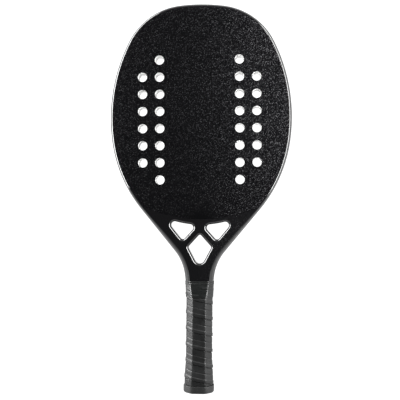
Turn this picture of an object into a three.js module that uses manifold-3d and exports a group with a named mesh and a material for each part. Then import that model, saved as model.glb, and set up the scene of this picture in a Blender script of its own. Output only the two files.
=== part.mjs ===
import * as THREE from 'three';
import { mergeVertices } from 'three/addons/utils/BufferGeometryUtils.js';
import Module from 'manifold-3d';

const wasm = await Module();
wasm.setup();

// A beach tennis racket, lying with its front face up. All lengths are millimetres.
// X runs across the racket, Y from the butt to the tip of the head, Z out of the front face.
// The origin is the middle of the flat butt end.

// Overall sizes
const racketLength = 487;
const headThickness = 22;
const faceHeight = headThickness / 2;
const seatGap = 0.3; // clearance between pieces that seat on each other
const cutOverrun = 2; // how far a cutting shape runs past the piece it cuts
const facetTurn = 4.5; // degrees of bend that one flat facet of the frame takes up

// Outline, walked from the tip down the right-hand side. Turns are in degrees.
const tipRadius = 225;
const tipTurn = 7.1;
const shoulderRadius = 82.4;
const shoulderTurn = 56.1;
const sideRadius = 213.5;
const sideTurn = 35.1;
const lowerSideRadius = 172.4;
const taperLean = 39.3; // how far from straight down the straight sides of the throat lean
const neckRadius = 58.7;
const neckEndLean = 6.7; // lean that is left where the neck goes under the grip
const neckGap = 2.72; // between the two legs there
const legTaperLength = 24.5; // over which the legs narrow and close that gap
const legBlendRadius = 40;

// Frame tube: one hollow tube bent round the head, whose two ends run side by side down the handle
const tubeWidth = 17;
const tubeWall = 1.8;
const rimRound = 4; // rounding of the outer edges
const throatRound = 3; // rounding of the edges along the throat openings
const roundSteps = 4;
const boreCorner = 4;
const legSpacing = 0.3;
const legCorner = 5.8; // flat cut on the outer edges of the legs, which gives the handle eight sides

// Face skins and foam core
const skinThickness = 1;
const faceInset = 4.4; // from the outline to the edge of the face skin
const seatHeight = faceHeight - skinThickness - seatGap;
const baseBow = 180; // radius of the arc that closes the head at the throat, at the outline
const baseSteps = 12;

// Holes drilled right through the head, in two columns a side, as many as the foam core has room for
const holeDiameter = 11.6;
const holePitch = 21.45;
const holeColumnOffset = 50; // inner column, from the middle of the pattern
const holeColumns = 2;
const holePatternFromTip = 145.8; // middle of the pattern
const holePatternShift = -1.45; // the drilling lies this far off the centre line
const holePatternTurn = 0.75; // and is turned by this many degrees
const holeEndMargin = 9; // least room left at the end of a column, measured along the holes' outer side
const holeSides = 16;

// Throat: a chord under the head and two struts that lean out to the legs
const chordWidth = 18.7; // at the middle, from the foam core down to the openings
const chordBow = 120; // radius of the chord's lower edge
const chordSteps = 6;
const strutWidth = 10.6;
const strutLean = 42; // degrees from straight down
const hubDrop = 3.7; // how far below the chord's lower edge the strut centre lines cross
const kiteWaistTurn = 6.7; // degrees round the neck bend from a strut to the middle opening's waist
const legBite = 0.8; // how far the cut for an opening runs into the legs beside it
const outerCornerRadius = 4.5;
const innerCornerRadius = 4.2;
const footCornerRadius = 3.5;
const kiteTopRadius = 2;
const kiteSideRadius = 3;
const kiteFootDrop = 10.5; // from the waist down to where the middle opening's round foot starts
const cornerSteps = 5;
const fillDepth = 5; // how far the raw throat plate runs into the legs before it is cut to fit
const wedgeShare = 0.5; // share of the legs' taper that the wedge between them fills

// Handle
const palletRise = 2; // how far a pallet strip builds the handle up over the legs
const palletEnd = 0.8; // height left at the strip's tapered upper end
const gripTopDrop = 8; // from the end of the neck bend down to the top of the grip
const cornerCut = 1.2; // small flat on the corners of the butt cap's eight-sided section

// Butt cap
const capWall = 3.6; // end wall
const capLipRise = 4.1; // how far the lip stands out from the handle core
const capLipLength = 9.5;
const capEdge = 3.5; // rounding at the end face
const skirtRise = 1.5;
const skirtEndRise = 0.9;
const skirtStraight = 8.5;
const skirtTaper = 12;
const cordHoleDiameter = 4.5;
const cordHoleSpacing = 10;
const cordHoleSides = 16;

// Pins that hold the cap
const pinDiameter = 2;
const pinLength = 7;
const pinEdgeMargin = 2.15; // from the pin's axis to the edge of the handle's flat
const pinHeight = 14;
const pinSides = 12;

// Cushion grip: one strip wound up the handle as a left-handed helix, with its lower edge raised
const gripThickness = 1.3;
const gripLip = 0.3;
const gripLipWidth = 4;
const gripPitch = 19.85;
const gripWindGap = 0.6;
const gripStartSide = 7.1; // where the strip begins, in sides of the handle from the front
const gripPointWidth = 1.5;
const gripSkiveLength = 19;
const gripSkiveThickness = 0.25;
const stepsPerSide = 3;
const stripSteps = 2;
const handleSides = 8;

// Finishing tape over the top end of the grip
const tapeWidth = 20;
const tapeThickness = 0.2;
const tapeAbove = 1.6; // how far it laps past the end of the grip onto the neck

const toRadians = THREE.MathUtils.degToRad;
const toDegrees = THREE.MathUtils.radToDeg;
const lowerSideTurn = toDegrees(Math.PI / 2) + taperLean - tipTurn - shoulderTurn - sideTurn;

// Half the width of the two legs side by side: what is left once the neck gap has closed
const endLean = toRadians(neckEndLean);
const legDrift = legTaperLength * Math.sin(endLean) + legBlendRadius * (1 - Math.cos(endLean));
const legOuter = tubeWidth * Math.cos(endLean) + neckGap / 2 - legDrift;
const legWidth = legOuter - legSpacing / 2;

// One point of the outline: its place, the direction that faces out of the racket, and how far
// the tube has changed towards its width and its cut corners in the handle.
function station(x, y, heading, widthShare, cornerShare) {
  return { x, y, nx: Math.sin(heading), ny: Math.cos(heading), widthShare, cornerShare };
}

// Headings are measured clockwise from +X, so the outline starts along +X at the tip.
const legHeading = Math.PI / 2;
const taperHeading = legHeading + toRadians(taperLean);
const neckHeading = legHeading + endLean;

const bowedArcs = [
  { radius: tipRadius, turn: tipTurn },
  { radius: shoulderRadius, turn: shoulderTurn },
  { radius: sideRadius, turn: sideTurn },
  { radius: lowerSideRadius, turn: lowerSideTurn },
];

// The straight side of the throat is as long as it takes for the legs to meet in the handle.
function straightTaperLength() {
  let x = 0;
  let heading = 0;
  for (const arc of bowedArcs) {
    const next = heading + toRadians(arc.turn);
    x += arc.radius * (Math.sin(next) - Math.sin(heading));
    heading = next;
  }
  x += neckRadius * (Math.sin(taperHeading) - Math.sin(neckHeading));
  return (x - legDrift - legOuter) / -Math.cos(taperHeading);
}

// Walks the right-hand side of the racket and keeps the index of the stations that others use.
function walkOutline() {
  const stations = [station(0, racketLength, 0, 0, 0)];
  const marks = {};
  let heading = 0;
  const last = () => stations[stations.length - 1];

  function bend(radius, end, shares) {
    const steps = Math.ceil(Math.abs(end - heading) / toRadians(facetTurn));
    const side = Math.sign(end - heading);
    const centreX = last().x - side * radius * Math.sin(heading);
    const centreY = last().y - side * radius * Math.cos(heading);
    const start = heading;
    for (let step = 1; step <= steps; step++) {
      const share = step / steps;
      heading = start + (end - start) * share;
      const x = centreX + side * radius * Math.sin(heading);
      const y = centreY + side * radius * Math.cos(heading);
      stations.push(station(x, y, heading, ...shares(share)));
    }
    return { x: centreX, y: centreY };
  }

  function straight(length, shares) {
    const x = last().x + length * Math.cos(heading);
    const y = last().y - length * Math.sin(heading);
    stations.push(station(x, y, heading, ...shares));
  }

  for (const arc of bowedArcs) {
    bend(arc.radius, heading + toRadians(arc.turn), () => [0, 0]);
  }
  marks.taper = stations.length - 1;
  straight(straightTaperLength(), [0, 0]);
  marks.neckStart = stations.length - 1;
  marks.neckCentre = bend(neckRadius, neckHeading, (share) => [0, share]);
  marks.neckEnd = stations.length - 1;
  straight(legTaperLength * wedgeShare, [wedgeShare, 1]);
  marks.wedgeEnd = stations.length - 1;
  straight(legTaperLength * (1 - wedgeShare), [1, 1]);
  bend(legBlendRadius, legHeading, () => [1, 1]);
  marks.legTop = stations.length - 1;
  straight(last().y - capWall - seatGap, [1, 1]);
  return { stations, marks };
}

const { stations: rightSide, marks } = walkOutline();

// A point of the outline moved inwards by a distance.
function inward(place, inset) {
  return new THREE.Vector2(place.x - inset * place.nx, place.y - inset * place.ny);
}

const mirrored = (point) => new THREE.Vector2(-point.x, point.y);

// Solids and geometries
function toSolid(geometry) {
  const bare = geometry.clone();
  bare.deleteAttribute('normal');
  bare.deleteAttribute('uv');
  const merged = mergeVertices(bare);
  const vertProperties = Float32Array.from(merged.attributes.position.array);
  const triVerts = Uint32Array.from(merged.index.array);
  return new wasm.Manifold(new wasm.Mesh({ numProp: 3, vertProperties, triVerts }));
}

function toGeometry(solid) {
  const { vertProperties, triVerts } = solid.getMesh();
  const geometry = new THREE.BufferGeometry();
  geometry.setAttribute('position', new THREE.BufferAttribute(vertProperties, 3));
  geometry.setIndex(new THREE.BufferAttribute(triVerts, 1));
  geometry.computeVertexNormals();
  return geometry;
}

// A closed skin over a row of rings that all have the same number of points. Seen from the first
// ring towards the last, the points of a ring run clockwise.
function loft(rings) {
  const count = rings[0].length;
  const positions = rings.flat().flatMap((point) => [point.x, point.y, point.z]);
  const index = [];
  for (let ring = 0; ring < rings.length - 1; ring++) {
    for (let side = 0; side < count; side++) {
      const a = ring * count + side;
      const b = ring * count + ((side + 1) % count);
      index.push(a, b, a + count, b, b + count, a + count);
    }
  }
  const end = (rings.length - 1) * count;
  for (let side = 1; side < count - 1; side++) {
    index.push(0, side + 1, side);
    index.push(end, end + side, end + side + 1);
  }
  const geometry = new THREE.BufferGeometry();
  geometry.setAttribute('position', new THREE.Float32BufferAttribute(positions, 3));
  geometry.setIndex(index);
  geometry.computeVertexNormals();
  return geometry;
}

// A flat plate between two heights.
function plate(points, low, high, holes = []) {
  const shape = new THREE.Shape(points);
  shape.holes = holes.map((hole) => new THREE.Path(hole));
  const geometry = new THREE.ExtrudeGeometry(shape, { depth: high - low, bevelEnabled: false });
  return geometry.translate(0, 0, low);
}

// Points of an arc, both ends included
function arcPoints(x, y, radius, start, sweep, steps) {
  const points = [];
  for (let step = 0; step <= steps; step++) {
    const angle = start + (sweep * step) / steps;
    points.push(new THREE.Vector2(x + radius * Math.cos(angle), y + radius * Math.sin(angle)));
  }
  return points;
}

const circle = (x, y, diameter, sides) => arcPoints(x, y, diameter / 2, 0, 2 * Math.PI, sides).slice(1);

// Frame tube

// Section of the tube as points (in from the outline, height), with round edges that turn into
// flat cuts in the handle. It can be grown, for cutting its neighbours to fit.
function tubeSection(place, grow) {
  const width = THREE.MathUtils.lerp(tubeWidth, legWidth, place.widthShare);
  const top = faceHeight + grow;
  const points = [];
  function corner(u, z, sideU, sideZ, radius, cut, share, flip) {
    for (let step = 0; step <= roundSteps; step++) {
      const along = flip ? roundSteps - step : step;
      const angle = (Math.PI / 2) * (along / roundSteps);
      const roundU = radius * (1 - Math.sin(angle));
      const roundZ = radius * (1 - Math.cos(angle));
      const flatU = cut * (1 - along / roundSteps);
      const flatZ = cut * (along / roundSteps);
      const inU = THREE.MathUtils.lerp(roundU, flatU, share);
      const inZ = THREE.MathUtils.lerp(roundZ, flatZ, share);
      points.push([u + sideU * inU, z + sideZ * inZ]);
    }
  }
  const outerRound = rimRound + grow;
  const innerRound = throatRound + grow;
  const cut = legCorner + grow * (2 - Math.SQRT2);
  corner(-grow, -top, 1, 1, outerRound, cut, place.cornerShare, false);
  corner(-grow, top, 1, -1, outerRound, cut, place.cornerShare, true);
  corner(width + grow, top, -1, -1, innerRound, innerRound, 0, false);
  corner(width + grow, -top, -1, 1, innerRound, innerRound, 0, true);
  return points;
}

// Bore of the tube: eight-sided, with an even wall that also clears the seats of the face skins.
function boreSection(place) {
  const width = THREE.MathUtils.lerp(tubeWidth, legWidth, place.widthShare);
  const near = tubeWall;
  const far = width - tubeWall;
  const top = seatHeight - tubeWall;
  return [
    [near + boreCorner, -top],
    [near, boreCorner - top],
    [near, top - boreCorner],
    [near + boreCorner, top],
    [far - boreCorner, top],
    [far, top - boreCorner],
    [far, boreCorner - top],
    [far - boreCorner, -top],
  ];
}

// Carries a section round the whole outline, from the end of one leg to the end of the other.
function sweepRound(section, overrun) {
  const ringAt = (place, side) => section(place).map(([u, z]) => {
    const point = inward(place, u);
    return new THREE.Vector3(side * point.x, point.y, z);
  });
  const rightRings = rightSide.map((place) => ringAt(place, 1));
  const leftRings = rightSide.slice(1).reverse().map((place) => ringAt(place, -1));
  const rings = [...leftRings, ...rightRings];
  for (const point of [...rings[0], ...rings[rings.length - 1]]) {
    point.y -= overrun;
  }
  return loft(rings);
}

const headFoot = rightSide[marks.taper];
const baseCentreY = headFoot.y + Math.sqrt(baseBow * baseBow - headFoot.x * headFoot.x);

function baseRadius(inset) {
  const foot = inward(headFoot, inset);
  return Math.hypot(foot.x, foot.y - baseCentreY);
}

// Head outline moved inwards, closed at the throat by an arc about the base centre.
function headOutline(inset) {
  const right = rightSide.slice(0, marks.taper + 1).map((place) => inward(place, inset));
  const reach = Math.asin(right[right.length - 1].x / baseRadius(inset));
  const base = arcPoints(0, baseCentreY, baseRadius(inset), reach - Math.PI / 2, -2 * reach, baseSteps);
  const left = right.slice(1).reverse().map(mirrored);
  return [...right, ...base.slice(1), ...left.slice(1)];
}

// Recess for one face skin, cut into the tube and the throat bridge
function skinSeat(side) {
  const low = side > 0 ? seatHeight : -faceHeight - cutOverrun;
  const high = side > 0 ? faceHeight + cutOverrun : -seatHeight;
  return toSolid(plate(headOutline(faceInset), low, high));
}

// Heights at which an outline crosses the line x = across
function crossingHeights(outline, across) {
  const heights = [];
  outline.forEach((point, index) => {
    const next = outline[(index + 1) % outline.length];
    if ((point.x - across) * (next.x - across) < 0) {
      const share = (across - point.x) / (next.x - point.x);
      heights.push(THREE.MathUtils.lerp(point.y, next.y, share));
    }
  });
  return heights;
}

// Drilled holes, spread evenly to both sides of the pattern's middle
function holeCircles(outline) {
  const circles = [];
  const middle = racketLength - holePatternFromTip;
  const centre = new THREE.Vector2();
  const drill = (across, along) => {
    const place = new THREE.Vector2(across, along).rotateAround(centre, toRadians(holePatternTurn));
    circles.push(circle(place.x + holePatternShift, place.y + middle, holeDiameter, holeSides));
  };
  for (let column = 0; column < holeColumns; column++) {
    const offset = holeColumnOffset + column * holePitch;
    const heights = crossingHeights(outline, offset + holeDiameter);
    const room = Math.min(...heights.map((y) => Math.abs(y - middle))) - holeEndMargin;
    const pairs = heights.length > 0 ? Math.floor(room / holePitch + 1 / 2) : 0;
    for (let row = -pairs; row < pairs; row++) {
      drill(offset, (row + 1 / 2) * holePitch);
      drill(-offset, (row + 1 / 2) * holePitch);
    }
  }
  return circles;
}

// Throat openings

// A straight side by a point and its lean: degrees from straight down, towards +X. Going round an
// opening anticlockwise, the opening lies on its left. The chord's side is an arc instead, about a
// centre that lies outside the opening.
const line = (x, y, lean) => ({ x, y, dx: Math.sin(toRadians(lean)), dy: -Math.cos(toRadians(lean)) });
const movedIn = (side, by) => ({ ...side, x: side.x - side.dy * by, y: side.y + side.dx * by });
const pointAlong = (side, by) => new THREE.Vector2(side.x + side.dx * by, side.y + side.dy * by);

function crossing(a, b) {
  const scale = a.dx * b.dy - a.dy * b.dx;
  return pointAlong(a, ((b.x - a.x) * b.dy - (b.y - a.y) * b.dx) / scale);
}

// How far along a line it enters a circle and leaves it again
function circlePassage(side, circleX, circleY, radius) {
  const toX = circleX - side.x;
  const toY = circleY - side.y;
  const middle = toX * side.dx + toY * side.dy;
  const past = toX * side.dy - toY * side.dx;
  const half = Math.sqrt(radius * radius - past * past);
  return { enters: middle - half, leaves: middle + half };
}

// Centre of the round corner between two sides
function cornerCentre(before, after, radius) {
  if (after.bow) {
    const inner = movedIn(before, radius);
    return pointAlong(inner, circlePassage(inner, after.x, after.y, after.bow + radius).enters);
  }
  if (before.bow) {
    const inner = movedIn(after, radius);
    return pointAlong(inner, circlePassage(inner, before.x, before.y, before.bow + radius).leaves);
  }
  return crossing(movedIn(before, radius), movedIn(after, radius));
}

// Direction in which a round corner meets the side, as an angle from +X
function meetingAngle(side, centre) {
  return side.bow ? Math.atan2(side.y - centre.y, side.x - centre.x) : Math.atan2(-side.dx, side.dy);
}

// Outline with round corners, moved outwards by a distance. Each corner lies before its side.
function roundedOutline(sides, radii, outset) {
  const count = sides.length;
  const centres = sides.map((side, index) => (
    cornerCentre(sides[(index + count - 1) % count], side, radii[index])
  ));
  return sides.flatMap((side, index) => {
    const centre = centres[index];
    const start = meetingAngle(sides[(index + count - 1) % count], centre);
    const sweep = THREE.MathUtils.euclideanModulo(meetingAngle(side, centre) - start, 2 * Math.PI);
    const corner = arcPoints(centre.x, centre.y, radii[index] + outset, start, sweep, cornerSteps);
    if (!side.bow) {
      return corner;
    }
    const next = centres[(index + 1) % count];
    const from = Math.atan2(centre.y - side.y, centre.x - side.x);
    const turn = Math.atan2(next.y - side.y, next.x - side.x) - from;
    const bowed = arcPoints(side.x, side.y, side.bow - outset, from, turn, chordSteps);
    return [...corner, ...bowed.slice(1, -1)];
  });
}

// Cutter for one opening: straight through the middle, flaring out in a round edge at both faces
function openingCutter(outlineAt) {
  const levels = [{ z: -faceHeight - cutOverrun, outset: throatRound }];
  for (let step = 0; step <= roundSteps; step++) {
    const angle = (Math.PI / 2) * (step / roundSteps);
    const z = throatRound * (1 - Math.cos(angle)) - faceHeight;
    levels.push({ z, outset: throatRound * (1 - Math.sin(angle)) });
  }
  const upper = levels.map(({ z, outset }) => ({ z: -z, outset })).reverse();
  const rings = [...levels, ...upper].map(({ z, outset }) => (
    outlineAt(outset).map((point) => new THREE.Vector3(point.x, point.y, z))
  ));
  return toSolid(loft(rings));
}

const chordLow = baseCentreY - baseRadius(tubeWidth + seatGap) - chordWidth;
const hubHeight = chordLow - hubDrop;
const strutReach = strutWidth / 2 / Math.sin(toRadians(strutLean));

const legSide = inward(headFoot, tubeWidth - legBite);
const legLine = line(legSide.x, legSide.y, 180 - taperLean);
const chordArc = { x: 0, y: chordLow + chordBow, bow: chordBow };
const strutUpperLine = line(0, hubHeight + strutReach, strutLean);
const strutLowerLine = line(0, hubHeight - strutReach, strutLean);

// How far the inner side of a leg leans where the strut's lower edge first meets it, on the bend
const bendReach = neckRadius + tubeWidth - legBite;
const neckBend = marks.neckCentre;
const legPassage = circlePassage(strutLowerLine, neckBend.x, neckBend.y, bendReach);
const whereMet = pointAlong(strutLowerLine, legPassage.enters);
const leanWhereMet = toDegrees(Math.asin((whereMet.y - neckBend.y) / bendReach));

// The lower sides of the middle opening touch the legs at the waist, a little below the struts. The
// opening is as wide as the throat there, so the pieces above and below it don't meet.
const kiteLean = leanWhereMet - kiteWaistTurn;
const waistX = neckBend.x - bendReach * Math.cos(toRadians(kiteLean));
const waistY = neckBend.y + bendReach * Math.sin(toRadians(kiteLean));
const footSide = waistX / Math.sin(toRadians(kiteLean)) - kiteFootDrop;
const kiteFootRadius = footSide * Math.tan(toRadians(kiteLean));

// Outline of the right-hand opening, and its mirror image
function sideOutline(side, outset) {
  const radii = [innerCornerRadius, footCornerRadius, outerCornerRadius];
  const right = roundedOutline([strutUpperLine, legLine, chordArc], radii, outset);
  return side > 0 ? right : right.map(mirrored).reverse();
}

function middleOutline(outset) {
  const top = hubHeight - strutReach;
  const sides = [
    line(0, top, -strutLean),
    line(-waistX, waistY, kiteLean),
    line(waistX, waistY, 180 - kiteLean),
    line(0, top, 180 + strutLean),
  ];
  return roundedOutline(sides, [kiteTopRadius, kiteSideRadius, kiteFootRadius, kiteSideRadius], outset);
}

// Raw plate between the legs, kept above or below the waist
function throatPlate(keepAbove) {
  const beside = rightSide.slice(marks.taper, marks.wedgeEnd + 1);
  const right = beside.map((place) => inward(place, tubeWidth - fillDepth));
  const left = right.map(mirrored).reverse();
  const whole = toSolid(plate([...right, ...left], -faceHeight, faceHeight));
  const far = keepAbove ? 0 : racketLength;
  const half = [[racketLength, far], [racketLength, waistY], [-racketLength, waistY], [-racketLength, far]];
  const corners = half.map(([x, y]) => new THREE.Vector2(x, y));
  return whole.subtract(toSolid(plate(corners, -headThickness, headThickness)));
}

const tubeRoom = toSolid(sweepRound((place) => tubeSection(place, seatGap), cutOverrun));
const kiteCut = openingCutter(middleOutline);

function throatBridge() {
  const coreRoom = toSolid(plate(headOutline(tubeWidth), -headThickness, headThickness));
  return throatPlate(true)
    .subtract(kiteCut)
    .subtract(openingCutter((outset) => sideOutline(1, outset)))
    .subtract(openingCutter((outset) => sideOutline(-1, outset)))
    .subtract(coreRoom)
    .subtract(skinSeat(1))
    .subtract(skinSeat(-1))
    .subtract(tubeRoom);
}

function throatWedge() {
  return throatPlate(false).subtract(kiteCut).subtract(tubeRoom);
}

// Handle core: the eight-sided section that the legs and pallet strips make together. Its bevels
// lie where across + height equals the bevel sum.
const neckEndY = rightSide[marks.neckEnd].y;
const legTopY = rightSide[marks.legTop].y;
const legFootY = capWall + seatGap;
const gripTop = neckEndY - gripTopDrop;
const skirtFlat = capLipLength + skirtStraight;
const skirtTop = skirtFlat + skirtTaper;

function legHalfWidth(y) {
  const found = rightSide.findIndex((place, index) => index > marks.neckStart && place.y <= y);
  const from = found < 0 ? rightSide.length - 1 : found;
  const below = rightSide[from];
  const above = rightSide[from - 1];
  const share = THREE.MathUtils.clamp((y - below.y) / (above.y - below.y), 0, 1);
  return THREE.MathUtils.lerp(below.x, above.x, share);
}

function coreSection(y) {
  const across = legHalfWidth(y);
  const share = THREE.MathUtils.clamp((y - legTopY) / (gripTop - legTopY), 0, 1);
  const height = faceHeight + THREE.MathUtils.lerp(palletRise, palletEnd, share);
  return { across, height, sum: across + faceHeight - legCorner };
}

// Corners of the handle section, grown outwards, clockwise seen from the butt towards the head
function handleCorners(y, grow) {
  const core = coreSection(y);
  const across = core.across + grow;
  const height = core.height + grow;
  const sum = core.sum + grow * Math.SQRT2;
  return [
    [sum - height, height],
    [across, sum - across],
    [across, across - sum],
    [sum - height, -height],
    [height - sum, -height],
    [-across, across - sum],
    [-across, sum - across],
    [height - sum, height],
  ];
}

function handleOutline(y, sectionY, grow) {
  return handleCorners(sectionY, grow).map(([x, z]) => new THREE.Vector3(x, y, z));
}

// The same section with a small flat across each corner
function handleRing(y, sectionY, grow) {
  const corners = handleOutline(y, sectionY, grow);
  const ring = [];
  corners.forEach((corner, index) => {
    const before = corners[(index + handleSides - 1) % handleSides];
    const after = corners[(index + 1) % handleSides];
    ring.push(corner.clone().add(before.clone().sub(corner).setLength(cornerCut)));
    ring.push(corner.clone().add(after.clone().sub(corner).setLength(cornerCut)));
  });
  return ring;
}

// Pallet strip: fills the handle out over the flats of the two legs, and thins under the grip's end
function palletStrip(side) {
  const low = faceHeight + seatGap;
  const rings = [legFootY, legTopY, gripTop].map((y) => {
    const { height, sum } = coreSection(y);
    const outline = [
      [sum - low, low],
      [low - sum, low],
      [height - sum, height],
      [sum - height, height],
    ];
    return outline.map(([x, z]) => new THREE.Vector3(side * x, y, side * z));
  });
  return toSolid(loft(rings));
}

// Butt cap: an eight-sided cup with a flared lip, pushed over the end of the handle core
function buttCap() {
  const rings = [];
  for (let step = 0; step <= roundSteps; step++) {
    const angle = (Math.PI / 2) * (step / roundSteps);
    const y = capEdge * (1 - Math.cos(angle));
    rings.push(handleRing(y, legFootY, capLipRise - capEdge * (1 - Math.sin(angle))));
  }
  rings.push(handleRing(capLipLength, legFootY, capLipRise));
  rings.push(handleRing(capLipLength, legFootY, skirtRise));
  rings.push(handleRing(skirtFlat, legFootY, skirtRise));
  rings.push(handleRing(skirtTop, legFootY, skirtEndRise));
  const cavity = [capWall, skirtTop + cutOverrun].map((y) => handleOutline(y, legFootY, seatGap));
  let cap = toSolid(loft(rings)).subtract(toSolid(loft(cavity)));
  for (const side of [-1, 1]) {
    const outline = circle(side * cordHoleSpacing / 2, 0, cordHoleDiameter, cordHoleSides);
    const hole = plate(outline, -cutOverrun, capWall + cutOverrun);
    hole.rotateX(-Math.PI / 2);
    cap = cap.subtract(toSolid(hole));
  }
  return cap;
}

// A pin driven through the cap's skirt and the pallet strip into a leg, in front or behind
function capPin(side, grow) {
  const top = faceHeight + palletRise + skirtRise + (grow > 0 ? cutOverrun : -seatGap);
  const low = faceHeight + palletRise + skirtRise - seatGap - pinLength - grow;
  const { height, sum } = coreSection(legFootY);
  const offset = sum - height - pinEdgeMargin;
  const outline = circle(offset, pinHeight, pinDiameter + 2 * grow, pinSides);
  const pin = plate(outline, low, top);
  if (side < 0) {
    pin.rotateY(Math.PI);
  }
  return toSolid(pin);
}

function drilledForPins(solid) {
  return solid.subtract(capPin(1, seatGap)).subtract(capPin(-1, seatGap));
}

// Cushion grip

// A point of the handle's skin by its place round the section, in sides, and its height up it
function skinPoint(round, y, grow) {
  const corners = handleCorners(y, grow);
  const wrapped = THREE.MathUtils.euclideanModulo(round, handleSides);
  const from = Math.floor(wrapped) % handleSides;
  const [x0, z0] = corners[from];
  const [x1, z1] = corners[(from + 1) % handleSides];
  const share = wrapped - Math.floor(wrapped);
  const x = THREE.MathUtils.lerp(x0, x1, share);
  return new THREE.Vector3(x, y, THREE.MathUtils.lerp(z0, z1, share));
}

// Share of the way round that each corner lies at as the strip goes, by the length of the sides
function windShares() {
  const corners = handleCorners(legFootY, 0).map(([x, z]) => new THREE.Vector2(x, z)).reverse();
  const before = (index) => corners[(index + handleSides - 1) % handleSides];
  const lengths = corners.map((corner, index) => corner.distanceTo(before(index)));
  const total = lengths.reduce((sum, length) => sum + length, 0);
  const shares = [0];
  lengths.forEach((length) => shares.push(shares[shares.length - 1] + length / total));
  return shares;
}

const roundShares = windShares();

// Turns wound, counted from the front corner, for a place round the section in sides
function turnsAt(round) {
  const whole = Math.floor(round / handleSides);
  const rest = round - whole * handleSides;
  const from = Math.floor(rest);
  return whole + THREE.MathUtils.lerp(roundShares[from], roundShares[from + 1], rest - from);
}

// How far the handle has grown at a height: over the cap's skirt, then bare
function gripSeat(y) {
  const share = THREE.MathUtils.clamp((y - skirtFlat) / skirtTaper, 0, 1);
  const onSkirt = THREE.MathUtils.lerp(skirtRise, skirtEndRise, share);
  const pastSkirt = THREE.MathUtils.clamp((y - skirtTop) / skirtTaper, 0, 1);
  return THREE.MathUtils.lerp(onSkirt, 0, pastSkirt) + seatGap;
}

function gripRise(y) {
  const share = THREE.MathUtils.clamp((y - gripTop + gripSkiveLength) / gripSkiveLength, 0, 1);
  return THREE.MathUtils.lerp(gripThickness, gripSkiveThickness, share);
}

// The raised edge thins out with the strip.
function gripCrest(y) {
  return gripRise(y) * (1 + gripLip / gripThickness);
}

// The handle as the strip and the tape meet it: rings wherever its slope changes between two heights
function handleBand(low, high, over) {
  const bends = rightSide.slice(marks.neckStart).map((place) => place.y);
  const kinks = [skirtFlat, skirtTop, skirtTop + skirtTaper, gripTop - gripSkiveLength, gripTop, ...bends];
  const inside = kinks.filter((y) => y > low && y < high).sort((a, b) => a - b);
  return [low, ...inside, high].map((y) => handleOutline(y, y, gripSeat(y) + over(y)));
}

// Rings of the strip. It climbs as it goes round from right to left across the front, and its
// two ends are cut to a point, so that the first and the last turn lie level. Its underside
// starts inside the handle and is cut to fit it.
function gripRings() {
  const stripWidth = gripPitch - gripWindGap;
  const low = capLipLength + seatGap;
  const turns = (gripTop - low + stripWidth - 2 * gripPointWidth) / gripPitch;
  const firstStep = Math.floor(gripStartSide * stepsPerSide) + 1;
  const lastStep = Math.floor((gripStartSide + turns * handleSides) * stepsPerSide);
  const rounds = [gripStartSide];
  for (let step = firstStep; step <= lastStep; step++) {
    rounds.push(step / stepsPerSide);
  }
  return rounds.map((round) => {
    const climbed = (turnsAt(round) - turnsAt(gripStartSide)) * gripPitch;
    const bottom = low - stripWidth + climbed + gripPointWidth;
    const from = THREE.MathUtils.clamp(bottom, low, gripTop - gripPointWidth);
    const to = THREE.MathUtils.clamp(bottom + stripWidth, low + gripPointWidth, gripTop);
    const lip = Math.min(gripLipWidth, (to - from) / 2);
    const place = (y, rise) => skinPoint(-round, y, gripSeat(y) + rise);
    const ring = [
      place(from, -gripThickness),
      place(from, gripRise(from)),
      place(from + lip / 2, gripCrest(from + lip / 2)),
    ];
    for (let step = 0; step <= stripSteps; step++) {
      const y = THREE.MathUtils.lerp(from + lip, to, step / stripSteps);
      ring.push(place(y, gripRise(y)));
    }
    return [...ring, place(to, -gripThickness)];
  });
}

function cushionGrip(rings) {
  const low = capLipLength - cutOverrun;
  const handle = toSolid(loft(handleBand(low, gripTop + cutOverrun, () => 0)));
  return toSolid(loft(rings)).subtract(handle);
}

// Least distance between points of the strip that lie half a turn or more apart along it
function leastGap(rings) {
  const apart = (handleSides * stepsPerSide) / 2;
  let least = Infinity;
  rings.forEach((ring, index) => {
    for (const other of rings.slice(index + apart)) {
      for (const a of ring) {
        for (const b of other) {
          least = Math.min(least, a.distanceTo(b));
        }
      }
    }
  });
  return least;
}

// Finishing tape: a thin eight-sided band over the top end of the grip and the neck above it
function finishingTape() {
  const high = gripTop + tapeAbove;
  const low = high - tapeWidth;
  const under = (y) => gripCrest(y) + seatGap;
  const outer = loft(handleBand(low, high, (y) => under(y) + tapeThickness));
  const inner = loft(handleBand(low - cutOverrun, high + cutOverrun, under));
  return toSolid(outer).subtract(toSolid(inner));
}

// Materials
function finish(colour, roughness, metalness = 0) {
  return new THREE.MeshStandardMaterial({ color: colour, roughness, metalness });
}

const glossBlack = finish(0x101012, 0.18);
const gritBlack = finish(0x26262a, 0.75);
const whiteFoam = finish(0xf2f2f0, 0.9);
const palletGrey = finish(0x8f8a80, 0.8);
const capRubber = finish(0x2f3030, 0.6);
const gripBlack = finish(0x3a3b3b, 0.65);
const tapeBlack = finish(0x222423, 0.35);
const pinSteel = finish(0xb8bcc0, 0.35, 1);

const racket = new THREE.Group();

function add(name, geometry, material) {
  const mesh = new THREE.Mesh(geometry, material);
  mesh.name = name;
  racket.add(mesh);
}

// Assembly
const tubeSolid = toSolid(sweepRound((place) => tubeSection(place, 0), 0))
  .subtract(toSolid(sweepRound(boreSection, cutOverrun)))
  .subtract(skinSeat(1))
  .subtract(skinSeat(-1));
const skinOutline = headOutline(faceInset + seatGap);
const coreOutline = headOutline(tubeWidth + seatGap);
const holes = holeCircles(coreOutline);
const skinLow = faceHeight - skinThickness;

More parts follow.
